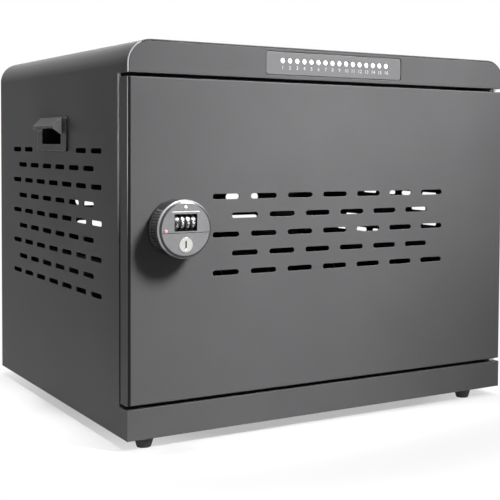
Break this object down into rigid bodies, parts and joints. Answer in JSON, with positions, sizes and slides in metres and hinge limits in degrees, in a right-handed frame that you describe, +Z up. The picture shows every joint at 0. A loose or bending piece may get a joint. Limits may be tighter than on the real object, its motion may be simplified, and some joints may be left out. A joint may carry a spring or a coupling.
{
  "type": "device charging cabinet",
  "caption": "Lockable sheet-steel cabinet that stores tablets on edge in a divided rack and charges them; pivot-hung vented door, combination lock with key, lamp strip and grab handles.",
  "frame": {"origin": "middle of the box that encloses the cabinet, on the floor under its feet", "axes": "+Z up, -Y out of the door, +X towards the hinge side, to the viewer's right"},
  "size_m": [0.455, 0.4019, 0.3625],
  "materials": {
    "shell_paint": "satin black powder coat, fine texture",
    "door_paint": "satin black powder coat, fine texture",
    "rack_paint": "satin black powder coat",
    "handle_plastic": "moulded black plastic, fine grain",
    "foot_rubber": "matt black rubber",
    "zinc_steel": "bright zinc-plated steel",
    "black_steel": "black oxide steel",
    "lens_plastic": "grey screen-printed plate",
    "lamp_resin": "milky white resin",
    "board_laminate": "green solder mask",
    "galvanised": "galvanised sheet",
    "supply_case": "plain aluminium case",
    "socket_shell": "nickel-plated shell",
    "inlet_plastic": "black moulded plastic",
    "blade_brass": "plated brass",
    "lead_sheath": "black cable sheath",
    "bush_nylon": "natural nylon",
    "lock_black": "black enamelled casting",
    "wheel_black": "black wheel with white numerals",
    "key_metal": "satin nickel plug"
  },
  "bodies": {
    "cabinet": {"outer_wrap": "shell_paint", "header_panel": "shell_paint", "base_pan": "shell_paint", "back_panel": "shell_paint", "back_screws": "black_steel", "foot_front_left": "foot_rubber", "foot_front_right": "foot_rubber", "foot_rear_left": "foot_rubber", "foot_rear_right": "foot_rubber", "foot_screws": "zinc_steel", "handle_left": "handle_plastic", "handle_right": "handle_plastic", "indicator_panel": "lens_plastic", "indicator_lamps": "lamp_resin", "indicator_board": "board_laminate", "indicator_lead": "lead_sheath", "charger_housing": "galvanised", "power_supply": "supply_case", "charger_board": "board_laminate", "usb_sockets": "socket_shell", "power_inlet": "inlet_plastic", "inlet_pins": "blade_brass", "mains_lead": "lead_sheath", "divider_rack": "rack_paint", "divider_01": "rack_paint", "divider_02": "rack_paint", "divider_03": "rack_paint", "divider_04": "rack_paint", "divider_05": "rack_paint", "divider_06": "rack_paint", "divider_07": "rack_paint", "divider_08": "rack_paint", "divider_09": "rack_paint", "divider_10": "rack_paint", "divider_11": "rack_paint", "divider_12": "rack_paint", "divider_13": "rack_paint", "divider_14": "rack_paint", "divider_15": "rack_paint", "hinge_pin_upper": "zinc_steel", "hinge_pin_lower": "zinc_steel"},
    "door": {"door_panel": "door_paint", "hinge_bush_upper": "bush_nylon", "hinge_bush_lower": "bush_nylon", "lock_base": "lock_black", "lock_nut": "zinc_steel"},
    "knob": {"lock_knob": "lock_black", "wheel_axle": "zinc_steel", "lock_cam": "zinc_steel", "cam_screw": "zinc_steel"},
    "key": {"key_cylinder": "key_metal"},
    "wheel_1": {"number_wheel_1": "wheel_black"},
    "wheel_2": {"number_wheel_2": "wheel_black"},
    "wheel_3": {"number_wheel_3": "wheel_black"},
    "wheel_4": {"number_wheel_4": "wheel_black"}
  },
  "joints": [
    {"name": "door_hinge", "type": "hinge", "parent": "cabinet", "child": "door", "pos_m": [0.21, -0.17175, 0.1849], "axis": [0, 0, 1], "range_deg": [0, 180]},
    {"name": "knob_turn", "type": "hinge", "parent": "door", "child": "knob", "pos_m": [-0.171, -0.17875, 0.1963], "axis": [0, -1, 0], "range_deg": [0, 90]},
    {"name": "key_turn", "type": "hinge", "parent": "knob", "child": "key", "pos_m": [-0.171, -0.19675, 0.1827], "axis": [0, -1, 0], "range_deg": [0, 90]},
    {"name": "wheel_1_spin", "type": "hinge", "parent": "knob", "child": "wheel_1", "pos_m": [-0.1788, -0.19315, 0.2023], "axis": [1, 0, 0], "continuous": true},
    {"name": "wheel_2_spin", "type": "hinge", "parent": "knob", "child": "wheel_2", "pos_m": [-0.1736, -0.19315, 0.2023], "axis": [1, 0, 0], "continuous": true},
    {"name": "wheel_3_spin", "type": "hinge", "parent": "knob", "child": "wheel_3", "pos_m": [-0.1684, -0.19315, 0.2023], "axis": [1, 0, 0], "continuous": true},
    {"name": "wheel_4_spin", "type": "hinge", "parent": "knob", "child": "wheel_4", "pos_m": [-0.1632, -0.19315, 0.2023], "axis": [1, 0, 0], "continuous": true}
  ]
}
